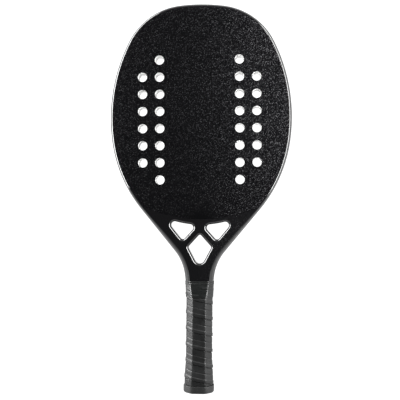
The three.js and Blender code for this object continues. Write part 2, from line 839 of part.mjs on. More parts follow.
add('frame_tube', toGeometry(drilledForPins(tubeSolid)), glossBlack);
add('throat_bridge', toGeometry(throatBridge()), glossBlack);
add('throat_wedge', toGeometry(throatWedge()), glossBlack);
add('foam_core', plate(coreOutline, -seatHeight, seatHeight, holes), whiteFoam);
add('front_face_skin', plate(skinOutline, skinLow, faceHeight, holes), gritBlack);
add('back_face_skin', plate(skinOutline, -faceHeight, -skinLow, holes), gritBlack);
add('handle_pallet_front', toGeometry(drilledForPins(palletStrip(1))), palletGrey);
add('handle_pallet_back', toGeometry(drilledForPins(palletStrip(-1))), palletGrey);
add('butt_cap', toGeometry(drilledForPins(buttCap())), capRubber);
add('cap_pin_front', toGeometry(capPin(1, 0)), pinSteel);
add('cap_pin_back', toGeometry(capPin(-1, 0)), pinSteel);

const strip = gripRings();
console.log(`cushion grip: least gap to itself ${leastGap(strip).toFixed(2)} mm`);
add('cushion_grip', toGeometry(cushionGrip(strip)), gripBlack);
add('finishing_tape', toGeometry(finishingTape()), tapeBlack);

export default racket;
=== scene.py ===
import bmesh
import bpy
import math
import numpy as np
from mathutils import Euler, Matrix, Vector
from mathutils.geometry import delaunay_2d_cdt


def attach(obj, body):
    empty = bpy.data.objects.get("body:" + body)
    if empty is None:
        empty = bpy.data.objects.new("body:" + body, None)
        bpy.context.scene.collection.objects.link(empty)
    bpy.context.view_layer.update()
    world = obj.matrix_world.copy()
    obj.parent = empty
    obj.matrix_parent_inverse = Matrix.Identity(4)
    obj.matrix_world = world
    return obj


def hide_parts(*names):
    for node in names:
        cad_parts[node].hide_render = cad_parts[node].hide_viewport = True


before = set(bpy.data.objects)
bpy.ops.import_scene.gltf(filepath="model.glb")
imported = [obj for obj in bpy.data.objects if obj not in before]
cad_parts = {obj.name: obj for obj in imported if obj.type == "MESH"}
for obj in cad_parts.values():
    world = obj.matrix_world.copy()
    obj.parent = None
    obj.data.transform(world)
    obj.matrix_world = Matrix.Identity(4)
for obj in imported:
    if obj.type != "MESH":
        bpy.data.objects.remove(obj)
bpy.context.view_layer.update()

# Frame tube
# One hollow carbon tube bent round the head, its two ends laid side by side down the handle. It is
# moulded with a rebate for each face skin, then painted black and clear-coated. Lengths here and in
# the other sections are millimetres until a mesh is made.
METRES = 0.001
SHARP_DEGREES = 30  # edges that turn by more than this stay sharp
RACKET_LENGTH = 487
FACE_HEIGHT = 11
TIP = (225, 7.1)  # radius, and turn in degrees
SHOULDER = (82.4, 56.1)
SIDE = (213.5, 35.1)
LOWER_SIDE_RADIUS = 172.4
TAPER_LEAN = 39.3
NECK_RADIUS = 58.7
NECK_END_LEAN = 6.7
NECK_GAP = 2.72
LEG_TAPER_LENGTH = 24.5
LEG_BLEND_RADIUS = 40
LEG_FOOT = 3.9  # height of the legs' ends above the butt
TUBE_WIDTH = 17
LEG_SPACING = 0.3
RIM_ROUND = 4.2  # how far the rim's rounded edge goes in, and down
RIM_DEPTH = 7.5
TAPER_ROUND = 8.5  # the same along the throat's outer sides
TAPER_DEPTH = 9
LEG_CORNER = 5.8
LEG_CORNER_SOFTNESS = 0.15  # share of the rim's round that is left on the legs' cut edges
SEAT_INSET = 4.4
SEAT_HEIGHT = 9.7
SEAT_EDGE = 0.15
ROUND_STEPS = 12
BASE_BOW = 180  # radius of the arc that closes the head at the throat, at the outline
STATION_STEP = 2

lower_side_turn = 90 + TAPER_LEAN - TIP[1] - SHOULDER[1] - SIDE[1]
end_lean = math.radians(NECK_END_LEAN)
leg_drift = LEG_TAPER_LENGTH * math.sin(end_lean) + LEG_BLEND_RADIUS * (1 - math.cos(end_lean))
leg_outer = TUBE_WIDTH * math.cos(end_lean) + NECK_GAP / 2 - leg_drift
leg_width = leg_outer - LEG_SPACING / 2


def bend(start, radius, end_heading):
    """An arc from a station. The heading turns evenly, clockwise from +X, and the point moves by
    the radius times the change of (sine, cosine) of the heading."""
    x, y, heading = start
    side = np.sign(end_heading - heading)
    steps = max(8, round(abs(end_heading - heading) * radius / STATION_STEP))
    angle = np.linspace(heading, end_heading, steps + 1)[1:]
    across = x + side * radius * (np.sin(angle) - math.sin(heading))
    along = y + side * radius * (np.cos(angle) - math.cos(heading))
    return np.stack([across, along, angle], axis=1)


def straight(start, length):
    """A straight from a station: the point moves by its distance along the heading."""
    x, y, heading = start
    distance = np.linspace(0, length, max(2, round(length / STATION_STEP)) + 1)[1:]
    across = x + distance * math.cos(heading)
    along = y - distance * math.sin(heading)
    return np.stack([across, along, np.full_like(distance, heading)], axis=1)


# The right-hand side of the outline, from the tip to the foot of the leg: rows of x, y and heading.
pieces = [np.array([[0.0, RACKET_LENGTH, 0.0]])]
for radius, turn in (TIP, SHOULDER, SIDE, (LOWER_SIDE_RADIUS, lower_side_turn)):
    pieces.append(bend(pieces[-1][-1], radius, pieces[-1][-1][2] + math.radians(turn)))
taper_start = pieces[-1][-1]
neck_heading = math.pi / 2 + end_lean
neck_reach = NECK_RADIUS * (math.sin(taper_start[2]) - math.sin(neck_heading))
taper_drop = taper_start[0] + neck_reach - leg_drift - leg_outer
pieces.append(straight(taper_start, taper_drop / -math.cos(taper_start[2])))
neck_start = pieces[-1][-1]
pieces.append(bend(neck_start, NECK_RADIUS, neck_heading))
neck_end = pieces[-1][-1]
pieces.append(straight(neck_end, LEG_TAPER_LENGTH))
pieces.append(bend(pieces[-1][-1], LEG_BLEND_RADIUS, math.pi / 2))
leg_top = pieces[-1][-1]
pieces.append(straight(leg_top, leg_top[1] - LEG_FOOT))
outline = np.concatenate(pieces)
outline_place = outline[:, :2]
outline_normal = np.stack([np.sin(outline[:, 2]), np.cos(outline[:, 2])], axis=1)
piece_ends = np.cumsum([len(piece) for piece in pieces]) - 1
head_end, taper_end, neck_end_index, leg_taper_end = piece_ends[4:8]

station_index = np.arange(len(outline))
corner_share = np.clip((station_index - taper_end) / (neck_end_index - taper_end), 0, 1)
width_share = np.clip((station_index - neck_end_index) / (leg_taper_end - neck_end_index), 0, 1)
tube_width = TUBE_WIDTH + (leg_width - TUBE_WIDTH) * width_share
base_centre = taper_start[1] + math.sqrt(BASE_BOW ** 2 - taper_start[0] ** 2)


def base_radius(inset):
    """Radius of the arc that closes the head, for an outline moved inwards by the inset."""
    foot = outline_place[head_end] - inset * outline_normal[head_end]
    return math.hypot(foot[0], foot[1] - base_centre)


def seat_start():
    """How far in from the outline the rebate starts: at its inset round the head, then where the
    section crosses the arc that closes the head, and nowhere below that."""
    offset = outline_place - [0, base_centre]
    along = np.sum(offset * outline_normal, axis=1)
    spare = along ** 2 - np.sum(offset ** 2, axis=1) + base_radius(SEAT_INSET) ** 2
    entry = along - np.sqrt(np.maximum(spare, 0))
    start = np.where(station_index <= head_end, SEAT_INSET, np.where(spare > 0, entry, tube_width))
    return np.clip(start, SEAT_INSET, tube_width)


def smooth(value, start, end):
    """0 before the start and 1 after the end, with an S-shaped cubic between."""
    t = np.clip((value - start) / (end - start), 0, 1)
    return t * t * (3 - 2 * t)


def tube_sections():
    """Sections of the tube, one row a station: points (in from the outline, height). The outer
    corner is a quarter of an ellipse that turns into a flat cut; then come the face, the rebate's
    step, the rebate and the inner wall, and the same again below."""
    width = tube_width[:, None]
    turn = np.linspace(0, math.pi / 2, ROUND_STEPS + 1)[None, :]
    along = turn / (math.pi / 2)
    passed = np.clip((station_index - head_end) / (taper_end - head_end), 0, 1)[:, None]
    cut = corner_share[:, None]
    taper = smooth(passed, 0, 1) * (1 - cut)
    rim_depth = RIM_DEPTH + (RIM_ROUND - RIM_DEPTH) * cut
    round_down = rim_depth + (TAPER_DEPTH - rim_depth) * taper
    round_in = RIM_ROUND + (TAPER_ROUND - RIM_ROUND) * taper
    flat_share = cut * (1 - LEG_CORNER_SOFTNESS)
    corner_in = (1 - flat_share) * round_in * (1 - np.cos(turn)) + flat_share * LEG_CORNER * along
    corner_down = (1 - flat_share) * round_down * (1 - np.sin(turn)) + flat_share * LEG_CORNER * (1 - along)
    step = seat_start()[:, None]
    has_seat = (step < width).astype(float)
    seat = FACE_HEIGHT - has_seat * (FACE_HEIGHT - SEAT_HEIGHT)
    edge = SEAT_EDGE * has_seat
    inset = np.concatenate([corner_in, step - edge, step, step, width], axis=1)
    flat = np.full_like(step, FACE_HEIGHT)
    height = np.concatenate([FACE_HEIGHT - corner_down, flat, flat - edge, seat, seat], axis=1)
    return np.hstack([inset, inset[:, ::-1]]), np.hstack([height, -height[:, ::-1]])


def mesh_piece(name, places, faces, sharp_degrees=SHARP_DEGREES):
    """An object from points in millimetres and lists of faces, smooth but for its sharp edges and
    with its faces turned outwards."""
    mesh = bpy.data.meshes.new(name)
    mesh.from_pydata(np.asarray(places) * METRES, [], faces)
    mesh.polygons.foreach_set("use_smooth", np.ones(len(mesh.polygons), bool))
    mesh.set_sharp_from_angle(angle=math.radians(sharp_degrees))
    work = bmesh.new()
    work.from_mesh(mesh)
    bmesh.ops.recalc_face_normals(work, faces=work.faces)
    work.to_mesh(mesh)
    work.free()
    piece = bpy.data.objects.new(name, mesh)
    bpy.context.scene.collection.objects.link(piece)
    return piece


def ring_faces(rings, closed=False):
    """Quads between rows of points that each close on themselves, and a cap on each end. With
    closed, the last row joins the first instead."""
    here = np.arange(rings[..., 0].size).reshape(rings.shape[:2])
    above = np.roll(here, -1, axis=0)
    quads = np.stack([here, above, np.roll(above, -1, axis=1), np.roll(here, -1, axis=1)], axis=2)
    if closed:
        return quads.reshape(-1, 4).tolist()
    return quads[:-1].reshape(-1, 4).tolist() + [here[0].tolist(), here[-1, ::-1].tolist()]


def even_shading(piece):
    """Weighs each corner's normal by the area of its faces, so that flats stay flat."""
    weighted = piece.modifiers.new("even shading", "WEIGHTED_NORMAL")
    weighted.keep_sharp = True
    return piece


inset, height = tube_sections()
right_side = np.stack([
    outline_place[:, 0, None] - inset * outline_normal[:, 0, None],
    outline_place[:, 1, None] - inset * outline_normal[:, 1, None],
    height,
], axis=2)
left_side = right_side[:0:-1] * [-1, 1, 1]
tube_rings = np.concatenate([left_side, right_side])
frame_tube = mesh_piece("frame_tube_moulding", tube_rings.reshape(-1, 3), ring_faces(tube_rings))

# Throat openings
# Three openings are moulded through the throat, each with its edges rounded at both faces. They
# leave a chord under the head and two struts that lean out to the legs.
SEAT_GAP = 0.3
CHORD_WIDTH = 18.7
CHORD_BOW = 120
STRUT_WIDTH = 10.6
STRUT_LEAN = 42
HUB_DROP = 3.7
KITE_WAIST_TURN = 6.7  # degrees round the legs' bend from the strut's foot to the kite's waist
KITE_FOOT_DROP = 10.5
KITE_TOP_RADIUS = 2
KITE_SIDE_RADIUS = 3
INNER_CORNER_RADIUS = 4.2
FOOT_CORNER_RADIUS = 3.5
OUTER_CORNER_RADIUS = 4.5
LEG_BITE = 0.8  # how far the openings cut into the legs' inner sides
THROAT_ROUND = 4.6
CORNER_STEPS = 12
CHORD_STEPS = 16
CUT_OVERRUN = 2  # how far a cutter sticks out of what it cuts
NET_MERGE = 1e-7  # points nearer than this count as one


def line(x, y, lean):
    """A straight side by a point and its lean, in degrees from straight down towards +X. Going
    round an opening anticlockwise, the opening lies on its left."""
    angle = math.radians(lean)
    return {"point": np.array([x, y]), "way": np.array([math.sin(angle), -math.cos(angle)])}


def moved_in(side, by):
    """A line moved to its left, which is its way turned by a right angle."""
    left = np.array([-side["way"][1], side["way"][0]])
    return {"point": side["point"] + by * left, "way": side["way"]}


def crossing(a, b):
    """Where two lines meet: the first one's point plus its way times the share that solves both."""
    t = np.linalg.solve(np.array([a["way"], -b["way"]]).T, b["point"] - a["point"])
    return a["point"] + a["way"] * t[0]


def circle_passage(side, centre, radius, leaving):
    """Where a line enters a circle, or leaves it: half a chord before or after its middle."""
    to_centre = centre - side["point"]
    middle = to_centre @ side["way"]
    half = math.sqrt(radius ** 2 - (to_centre @ to_centre - middle ** 2))
    return side["point"] + side["way"] * (middle + (half if leaving else -half))


def corner_centre(before, after, radius):
    """The centre of a round corner lies its radius in from both sides, each a line or an arc."""
    if "bow" in after:
        return circle_passage(moved_in(before, radius), after["point"], after["bow"] + radius, False)
    if "bow" in before:
        return circle_passage(moved_in(after, radius), before["point"], before["bow"] + radius, True)
    return crossing(moved_in(before, radius), moved_in(after, radius))


def meeting_angle(side, centre):
    """Direction from a round corner's centre to where it meets the side."""
    toward = side["point"] - centre if "bow" in side else np.array([side["way"][1], -side["way"][0]])
    return math.atan2(toward[1], toward[0])


def arc(centre, radius, start, sweep, steps):
    """Points round a centre: the radius times the cosine and sine of an evenly turning angle."""
    angle = start + sweep * np.linspace(0, 1, steps + 1)
    return centre + radius * np.stack([np.cos(angle), np.sin(angle)], axis=1)


def rounded_outline(sides, radii, outset):
    """An opening's outline with round corners, moved outwards. Each corner lies before its side."""
    centres = [corner_centre(sides[index - 1], side, radii[index]) for index, side in enumerate(sides)]
    parts = []
    for index, side in enumerate(sides):
        start = meeting_angle(sides[index - 1], centres[index])
        sweep = (meeting_angle(side, centres[index]) - start) % (2 * math.pi)
        parts.append(arc(centres[index], radii[index] + outset, start, sweep, CORNER_STEPS))
        if "bow" in side:
            out = centres[index] - side["point"]
            back = centres[(index + 1) % len(sides)] - side["point"]
            first = math.atan2(out[1], out[0])
            turn = math.atan2(back[1], back[0]) - first
            parts.append(arc(side["point"], side["bow"] - outset, first, turn, CHORD_STEPS)[1:-1])
    return np.concatenate(parts)


chord_low = base_centre - base_radius(TUBE_WIDTH + SEAT_GAP) - CHORD_WIDTH
hub_height = chord_low - HUB_DROP
strut_reach = STRUT_WIDTH / 2 / math.sin(math.radians(STRUT_LEAN))
leg_side = outline_place[head_end] - (TUBE_WIDTH - LEG_BITE) * outline_normal[head_end]
chord_arc = {"point": np.array([0, chord_low + CHORD_BOW]), "bow": CHORD_BOW}
strut_lower = line(0, hub_height - strut_reach, STRUT_LEAN)
bend_centre = neck_start[:2] + NECK_RADIUS * outline_normal[taper_end]
bend_reach = NECK_RADIUS + TUBE_WIDTH - LEG_BITE
strut_foot = circle_passage(strut_lower, bend_centre, bend_reach, False)
kite_lean = math.degrees(math.asin((strut_foot[1] - bend_centre[1]) / bend_reach)) - KITE_WAIST_TURN
kite_angle = math.radians(kite_lean)
waist = bend_centre + bend_reach * np.array([-math.cos(kite_angle), math.sin(kite_angle)])
kite_foot_side = waist[0] / math.sin(kite_angle) - KITE_FOOT_DROP
kite_foot_radius = kite_foot_side * math.tan(kite_angle)


def side_opening(outset):
    """The right opening: three round corners between the strut, the leg and the chord."""
    sides = [line(0, hub_height + strut_reach, STRUT_LEAN), line(*leg_side, 180 - TAPER_LEAN), chord_arc]
    radii = [INNER_CORNER_RADIUS, FOOT_CORNER_RADIUS, OUTER_CORNER_RADIUS]
    return rounded_outline(sides, radii, outset)


def other_side_opening(outset):
    """The left opening: the right one's mirror image, in turned order."""
    return (side_opening(outset) * [-1, 1])[::-1]


def middle_opening(outset):
    """The kite under the struts: two struts' undersides and two straights that touch the bends."""
    top = hub_height - strut_reach
    sides = [line(0, top, -STRUT_LEAN), line(-waist[0], waist[1], kite_lean),
             line(*waist, 180 - kite_lean), line(0, top, 180 + STRUT_LEAN)]
    radii = [KITE_TOP_RADIUS, KITE_SIDE_RADIUS, kite_foot_radius, KITE_SIDE_RADIUS]
    return rounded_outline(sides, radii, outset)


def opening_cutter(outline_at):
    """Straight through the middle, and flaring out at both faces along a quarter circle."""
    turn = np.linspace(0, math.pi / 2, ROUND_STEPS + 1)
    flare = THROAT_ROUND * np.append(1, 1 - np.sin(turn))
    level = np.append(-FACE_HEIGHT - CUT_OVERRUN, THROAT_ROUND * (1 - np.cos(turn)) - FACE_HEIGHT)
    outsets = np.append(flare, flare[::-1])
    levels = np.append(level, -level[::-1])
    rings = np.stack([np.insert(outline_at(outset), 2, z, axis=1) for outset, z in zip(outsets, levels)])
    return mesh_piece("opening_cutter", rings.reshape(-1, 3), ring_faces(rings))


def next_points(loops):
    """For every point of the loops, laid end to end, the index of the next one in its loop."""
    starts = np.cumsum([0] + [len(loop) for loop in loops])
    return np.concatenate([np.roll(np.arange(len(loop)), -1) + start for loop, start in zip(loops, starts)])


def fill_faces(loops):
    """Triangles over the flat area inside the first loop and outside the rest: a constrained
    Delaunay net, of which a triangle stays where its middle lies inside an odd number of loops."""
    points = np.concatenate(loops)
    following = next_points(loops)
    edges = list(enumerate(following.tolist()))
    net = delaunay_2d_cdt([Vector(point) for point in points], edges, [], 0, NET_MERGE)
    faces = np.array(net[2])
    x, y = points.T
    next_x, next_y = points[following].T
    middle_x, middle_y = points[faces].mean(axis=1).T[..., None]
    passes = (y > middle_y) != (next_y > middle_y)
    slope = (next_x - x) / np.where(next_y == y, 1, next_y - y)
    to_the_right = passes & (middle_x < x + (middle_y - y) * slope)
    return faces[np.sum(to_the_right, axis=1) % 2 == 1]


def plate_piece(name, loops, outward, profile):
    """A flat plate with an edge profile. Each loop is carried from the top face's edge to the
    bottom's: a point moves by minus the inset along its outward normal, and lies at the height."""
    rows = []
    for edge_inset, edge_height in profile:
        moved = [loop - edge_inset * normal for loop, normal in zip(loops, outward)]
        rows.append(np.insert(np.concatenate(moved), 2, edge_height, axis=1))
        if len(rows) == 1:
            top_faces = fill_faces(moved)
    here = np.arange(len(rows) * len(rows[0])).reshape(len(rows), -1)
    following = here[:, next_points(loops)]
    walls = np.stack([here[:-1], here[1:], following[1:], following[:-1]], axis=2).reshape(-1, 4)
    bottom_faces = top_faces[:, ::-1] + here[-1, 0]
    faces = top_faces.tolist() + bottom_faces.tolist() + walls.tolist()
    return mesh_piece(name, np.concatenate(rows), faces)


def carve(piece, cutters):
    """Cuts solids out of a piece and leaves the result as its mesh."""
    for cutter in cutters:
        cut = piece.modifiers.new("cut", "BOOLEAN")
        cut.operation = "DIFFERENCE"
        cut.solver = "MANIFOLD"
        cut.object = cutter
    graph = bpy.context.evaluated_depsgraph_get()
    carved = bpy.data.meshes.new_from_object(piece.evaluated_get(graph))
    piece.modifiers.clear()
    piece.data = carved
    carved.polygons.foreach_set("use_smooth", np.ones(len(carved.polygons), bool))
    carved.set_sharp_from_angle(angle=math.radians(SHARP_DEGREES))
    return piece


openings = [opening_cutter(shape) for shape in (side_opening, other_side_opening, middle_opening)]
even_shading(carve(frame_tube, openings))

# Throat bridge and wedge
# The bridge fills the throat under the head and carries the struts; the wedge fills the gap where
# the legs come together. Both are moulded with the tube and finished with it, so no seam shows.
FLUSH_GAP = 0.02
HEAD_ARC_STEPS = 60
GRAINS_PER_METRE = 1000
LACQUER_BLACK = (0.0045, 0.0045, 0.005)
# pale grains on the lacquer: painted glints
SAND_GLINT_GREY = (0.07, 0.07, 0.0735)

inner_side = outline_place - (tube_width + FLUSH_GAP)[:, None] * outline_normal


def between_legs(first, last, closing):
    """A loop down the right leg's inner side and up the left's, closed by a row of points."""
    right = inner_side[first:last + 1]
    return np.concatenate([right, (right * [-1, 1])[::-1], closing])


def head_arc(arc_inset):
    """The arc that closes the head, from left to right, without its ends."""
    radius = base_radius(arc_inset)
    foot = outline_place[head_end] - arc_inset * outline_normal[head_end]
    reach = math.asin(foot[0] / radius)
    return arc(np.array([0, base_centre]), radius, -math.pi / 2 - reach, 2 * reach, HEAD_ARC_STEPS)[1:-1]


def upright_plate(name, loop, top, bottom):
    """A plate whose edge goes straight down, so that its loop is the same at both heights."""
    return plate_piece(name, [loop], [np.zeros_like(loop)], [(0, top), (0, bottom)])


waist_index = int(np.argmax((station_index > head_end) & (inner_side[:, 1] < waist[1])))
wedge_end = (neck_end_index + leg_taper_end) // 2

bridge_loop = between_legs(head_end, waist_index, head_arc(TUBE_WIDTH + SEAT_GAP))
bridge = upright_plate("throat_bridge_moulding", bridge_loop, FACE_HEIGHT, -FACE_HEIGHT)
seat_right = outline_place[:head_end + 1] - SEAT_INSET * outline_normal[:head_end + 1]
seat_loop = np.concatenate([seat_right[::-1] * [-1, 1], seat_right[1:], head_arc(SEAT_INSET)[::-1]])
seat_top = FACE_HEIGHT + CUT_OVERRUN
seats = [upright_plate("seat_cutter", seat_loop, top, bottom)
         for top, bottom in ((seat_top, SEAT_HEIGHT), (-SEAT_HEIGHT, -seat_top))]
even_shading(carve(bridge, openings + seats))

wedge_loop = between_legs(waist_index, wedge_end, np.zeros((0, 2)))
wedge = upright_plate("throat_wedge_moulding", wedge_loop, FACE_HEIGHT, -FACE_HEIGHT)
even_shading(carve(wedge, openings))
for cutter in openings + seats:
    bpy.data.objects.remove(cutter)


def shader(name, settings):
    """A new material, its node tree and its surface shader with the given settings."""
    material = bpy.data.materials.new(name)
    material.use_nodes = True
    surface = material.node_tree.nodes["Principled BSDF"]
    for key, value in settings.items():
        surface.inputs[key].default_value = value
    return material, material.node_tree, surface


def pattern(tree, kind, scale, stretch=(1, 1, 1), **settings):
    """A texture node that reads the piece's own coordinates, in features per metre."""
    where = tree.nodes.new("ShaderNodeTexCoord")
    spread = tree.nodes.new("ShaderNodeMapping")
    spread.inputs["Scale"].default_value = stretch
    texture = tree.nodes.new(kind)
    texture.inputs["Scale"].default_value = scale
    for key, value in settings.items():
        texture.inputs[key].default_value = value
    tree.links.new(where.outputs["Object"], spread.inputs["Vector"])
    tree.links.new(spread.outputs["Vector"], texture.inputs["Vector"])
    return texture


def ramp(tree, source, stops):
    """Maps a pattern's value to colours or greys at the given stops."""
    node = tree.nodes.new("ShaderNodeValToRGB")
    while len(node.color_ramp.elements) < len(stops):
        node.color_ramp.elements.new(1)
    for element, (position, colour) in zip(node.color_ramp.elements, stops):
        element.position = position
        element.color = (colour, colour, colour, 1) if isinstance(colour, (int, float)) else (*colour, 1)
    tree.links.new(source, node.inputs["Fac"])
    return node.outputs["Color"]


def product(tree, first, second):
    """Multiplies two patterns."""
    node = tree.nodes.new("ShaderNodeMath")
    node.operation = "MULTIPLY"
    tree.links.new(first, node.inputs[0])
    tree.links.new(second, node.inputs[1])
    return node.outputs["Value"]


def feed(tree, surface, socket, source, stops):
    """Sets the surface's colour or roughness by a pattern, through a ramp."""
    tree.links.new(ramp(tree, source, stops), surface.inputs[socket])


def relief(tree, surface, source, strength, depth):
    """Raises the surface by a pattern, to a depth in metres."""
    bump = tree.nodes.new("ShaderNodeBump")
    bump.inputs["Strength"].default_value = strength
    bump.inputs["Distance"].default_value = depth
    tree.links.new(source, bump.inputs["Height"])
    tree.links.new(bump.outputs["Normal"], surface.inputs["Normal"])


def fade(tree, source, start, end, low=0, high=1):
    """Goes smoothly from low to high as a pattern's value goes from the start to the end."""
    node = tree.nodes.new("ShaderNodeMapRange")
    node.interpolation_type = "SMOOTHSTEP"
    for key, value in (("From Min", start), ("From Max", end), ("To Min", low), ("To Max", high)):
        node.inputs[key].default_value = value
    tree.links.new(source, node.inputs["Value"])
    return node.outputs["Result"]


def place_on_piece(tree):
    """The place on the piece, as a point and as its X and Y."""
    where = tree.nodes.new("ShaderNodeTexCoord").outputs["Object"]
    split = tree.nodes.new("ShaderNodeSeparateXYZ")
    tree.links.new(where, split.inputs["Vector"])
    return where, split.outputs["X"], split.outputs["Y"]


def grains_with_glints(tree):
    """Each grain is a cell of a random pattern: its height and its paleness fall from the cell's
    middle, and only the cells that drew a high number are pale; that paleness is a painted glint."""
    grain = pattern(tree, "ShaderNodeTexVoronoi", GRAINS_PER_METRE)
    body = ramp(tree, grain.outputs["Distance"], [(0.1, 1), (0.6, 0)])
    drawn = tree.nodes.new("ShaderNodeSeparateColor")
    tree.links.new(grain.outputs["Color"], drawn.inputs["Color"])
    # the pale cells are painted glints on the grains
    chosen = ramp(tree, drawn.outputs["Red"], [(0.3, 0.05), (0.75, 0.25), (0.98, 1)])
    return body, product(tree, body, chosen)


def gloss_paint():
    """Clear-coated black with a faint orange peel. Pale sand grains are painted under the coat over the
    neck and the right-hand side of the throat: painted glints, only on the right where the light falls."""
    material, tree, surface = shader("gloss_black_lacquer", {
        "Specular IOR Level": 0, "Roughness": 0.3,
        "Coat Weight": 1, "Coat Roughness": 0.03, "Coat IOR": 1.8})
    _, across, along = place_on_piece(tree)
    rightwards = fade(tree, across, -0.01, 0.045)
    up_the_neck = fade(tree, along, 0.12, 0.15)
    below_the_face = fade(tree, along, 0.2, 0.235, 1, 0)
    # painted glints: pale grains only on the right of the throat and up the neck, where the light falls
    # from the right
    right_side_glints = product(tree, product(tree, rightwards, up_the_neck), below_the_face)
    _, glint_grains = grains_with_glints(tree)
    feed(tree, surface, "Base Color", product(tree, glint_grains, right_side_glints), [(0, LACQUER_BLACK), (1, SAND_GLINT_GREY)])
    peel = pattern(tree, "ShaderNodeTexNoise", 420, Detail=2)
    relief(tree, surface, peel.outputs["Fac"], 0.12, 0.00006)
    return material


def dress(piece, material):
    """Gives a piece its one material."""
    piece.data.materials.clear()
    piece.data.materials.append(material)


lacquer = gloss_paint()
for piece, node in ((frame_tube, "frame_tube"), (bridge, "throat_bridge"), (wedge, "throat_wedge")):
    dress(piece, lacquer)
    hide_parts(node)
    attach(piece, "root")

# Foam core and face skins
# A sheet of white foam fills the head and a thin composite skin is bonded over each face. The holes
# are drilled through all three afterwards, so their walls show the bare foam.
HOLE_DIAMETER = 11.6
HOLE_PITCH = 21.45
HOLE_COLUMN_OFFSET = 50
HOLE_PATTERN_FROM_TIP = 145.8
HOLE_PATTERN_SHIFT = -1.45
HOLE_PATTERN_TURN = 0.75
HOLES_IN_COLUMNS = (8, 6)  # inner and outer
HOLE_SIDES = 48
CORE_HEIGHT = 9.98
SKIN_UNDERSIDE = 10
SKIN_EDGE_GAP = 0.12
SKIN_EDGE_ROUND = 0.12
SKIN_ROUND_STEPS = 4
FOAM_PORE = (0.86, 0.86, 0.85)
FOAM_WHITE = (0.97, 0.97, 0.965)
GRIT_BLACK = (0.003, 0.003, 0.0034)
# pale grains of the grit: painted glints
GRIT_SAND_GLINT = (0.165, 0.165, 0.173)
HUB = (0, 0.204, 0)  # metres; the grit thins out to nothing round this point


def head_loop(loop_inset):
    """The head's outline moved inwards, closed by its arc, with the normals that face outwards."""
    right_normal = outline_normal[:head_end + 1]
    right = outline_place[:head_end + 1] - loop_inset * right_normal
    base = head_arc(loop_inset)[::-1]
    base_normal = (base - [0, base_centre]) / base_radius(loop_inset)
    flip = np.array([-1, 1])
    loop = np.concatenate([(right[1:] * flip)[::-1], right, base])
    normal = np.concatenate([(right_normal[1:] * flip)[::-1], right_normal, base_normal])
    return loop[::-1], normal[::-1]


def hole_loops():
    """Circles in columns at even pitch on both sides of the middle, the whole pattern turned."""
    angle = -np.linspace(0, 2 * math.pi, HOLE_SIDES, endpoint=False)
    rim = np.stack([np.cos(angle), np.sin(angle)], axis=1)
    turn = math.radians(HOLE_PATTERN_TURN)
    turned = np.array([[math.cos(turn), math.sin(turn)], [-math.sin(turn), math.cos(turn)]])
    middle = np.array([HOLE_PATTERN_SHIFT, RACKET_LENGTH - HOLE_PATTERN_FROM_TIP])
    loops = []
    for column, count in enumerate(HOLES_IN_COLUMNS):
        across = HOLE_COLUMN_OFFSET + column * HOLE_PITCH
        for along in (np.arange(count) - (count - 1) / 2) * HOLE_PITCH:
            for side in (1, -1):
                loops.append(np.array([side * across, along]) @ turned + middle + rim * HOLE_DIAMETER / 2)
    return loops, [-rim] * len(loops)


holes, hole_normals = hole_loops()
core_loop, core_normal = head_loop(TUBE_WIDTH + SEAT_GAP)
core = plate_piece("foam_core_sheet", [core_loop] + holes, [core_normal] + hole_normals,
                   [(0, CORE_HEIGHT), (0, -CORE_HEIGHT)])
even_shading(core)


def cut_foam():
    """White closed-cell foam, cut: fine cells, faint grey in the pores."""
    material, tree, surface = shader("white_cut_foam", {
        "Roughness": 0.85, "Subsurface Weight": 0.1, "Subsurface Radius": (0.002, 0.002, 0.002)})
    cells = pattern(tree, "ShaderNodeTexVoronoi", 1400)
    feed(tree, surface, "Base Color", cells.outputs["Distance"], [(0.1, FOAM_PORE), (0.5, FOAM_WHITE)])
    relief(tree, surface, cells.outputs["Distance"], 0.3, 0.0002)
    return material


dress(core, cut_foam())
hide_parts("foam_core")
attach(core, "root")


def grit_and_glint_spread(tree):
    """How thick the sand lies and how pale its grains are painted: none at the hub, more towards the tip,
    and more towards the sides, the right above all; the extra paleness on the right is a painted highlight."""
    where, across, along = place_on_piece(tree)
    from_hub = tree.nodes.new("ShaderNodeVectorMath")
    from_hub.operation = "DISTANCE"
    from_hub.inputs[1].default_value = HUB
    tree.links.new(where, from_hub.inputs[0])
    bare = fade(tree, from_hub.outputs["Value"], 0.018, 0.036)
    tipwards = fade(tree, along, 0.2, 0.44, 0.74, 1)
    # paler and thicker towards the right: the paler grains there are a painted highlight where the light
    # falls from the right
    right = fade(tree, across, -0.03, 0.11, 0.36, 1.25)
    left = fade(tree, across, -0.115, -0.04, 1.4, 1)
    return product(tree, product(tree, bare, tipwards), product(tree, right, left))


def grit_paint():
    """Matte black paint with sand in it, which stands up as a fine grit; its pale grains are painted
    glints.
    """
    material, tree, surface = shader("grit_black_paint", {"Specular IOR Level": 0})
    body, glint_grains = grains_with_glints(tree)
    spread = grit_and_glint_spread(tree)
    glint_grains = product(tree, glint_grains, spread)
    feed(tree, surface, "Base Color", glint_grains, [(0, GRIT_BLACK), (1, GRIT_SAND_GLINT)])
    feed(tree, surface, "Roughness", glint_grains, [(0, 0.46), (0.5, 0.36)])
    relief(tree, surface, product(tree, body, spread), 0.6, 0.0003)
    return material


